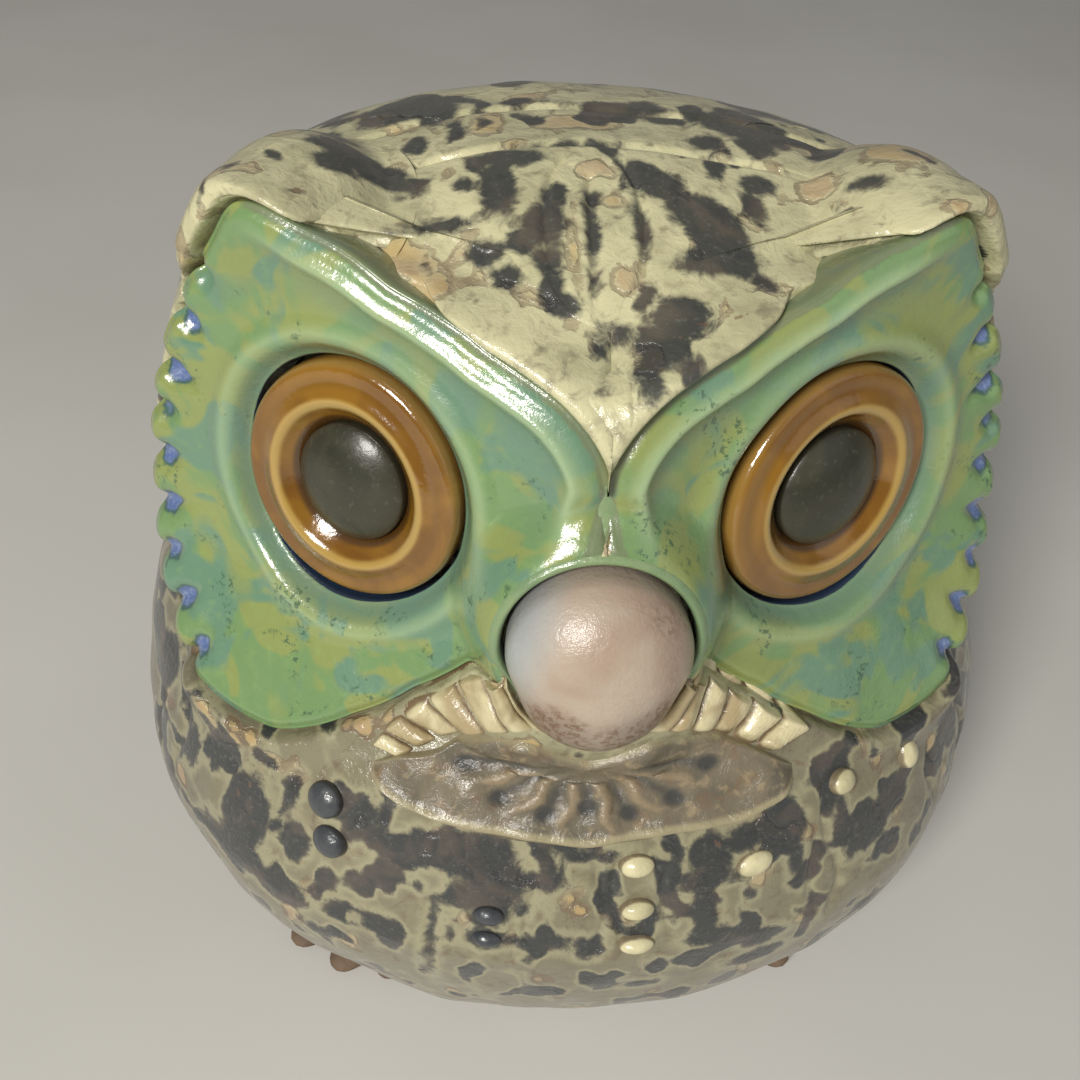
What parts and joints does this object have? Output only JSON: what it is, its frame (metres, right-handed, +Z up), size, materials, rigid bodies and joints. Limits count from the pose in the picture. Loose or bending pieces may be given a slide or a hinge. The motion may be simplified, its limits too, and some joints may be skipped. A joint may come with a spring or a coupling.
{
  "type": "owl figurine",
  "caption": "Round glazed stoneware owl with green facial discs, set amber eyes, a set pale beak and a hollow body on a flat base.",
  "frame": {"origin": "on the table at the middle of the figurine's base box", "axes": "+Z up out of the crown, -Y is where the owl looks, +X is the owl's own left"},
  "size_m": [0.1126, 0.0994, 0.1059],
  "materials": {
    "body_glaze": "cream and grey-beige glaze with charcoal patches",
    "crown_glaze": "cream glaze with charcoal patches, semi-gloss",
    "disc_glaze": "mottled sage, olive and turquoise glaze, gloss",
    "amber_glaze": "pooled amber glaze, high gloss",
    "pupil_glaze": "dark olive-grey glaze, satin",
    "beak_glaze": "pinkish off-white glaze speckled brown, gloss",
    "collar_glaze": "pale green glaze, gloss",
    "bib_glaze": "thin grey-brown glaze, satin",
    "fan_glaze": "cream glaze broken brown in the recesses",
    "pellet_glaze": "cream glaze pooled on raised pellets",
    "ear_glaze": "cream glaze with a black rim",
    "bare_clay": "unglazed brown clay, matte"
  },
  "bodies": {
    "root": {"torso_shell": "body_glaze", "head_shell": "crown_glaze", "facial_disc_left": "disc_glaze", "facial_disc_right": "disc_glaze", "eye_ring_left": "amber_glaze", "eye_ring_right": "amber_glaze", "pupil_left": "pupil_glaze", "pupil_right": "pupil_glaze", "beak": "beak_glaze", "beak_collar": "collar_glaze", "bib": "bib_glaze", "whisker_fan_left": "fan_glaze", "whisker_fan_right": "fan_glaze", "chest_pellets": "pellet_glaze", "ear_tuft_left": "ear_glaze", "ear_tuft_right": "ear_glaze", "foot_left": "bare_clay", "foot_right": "bare_clay"}
  },
  "joints": []
}
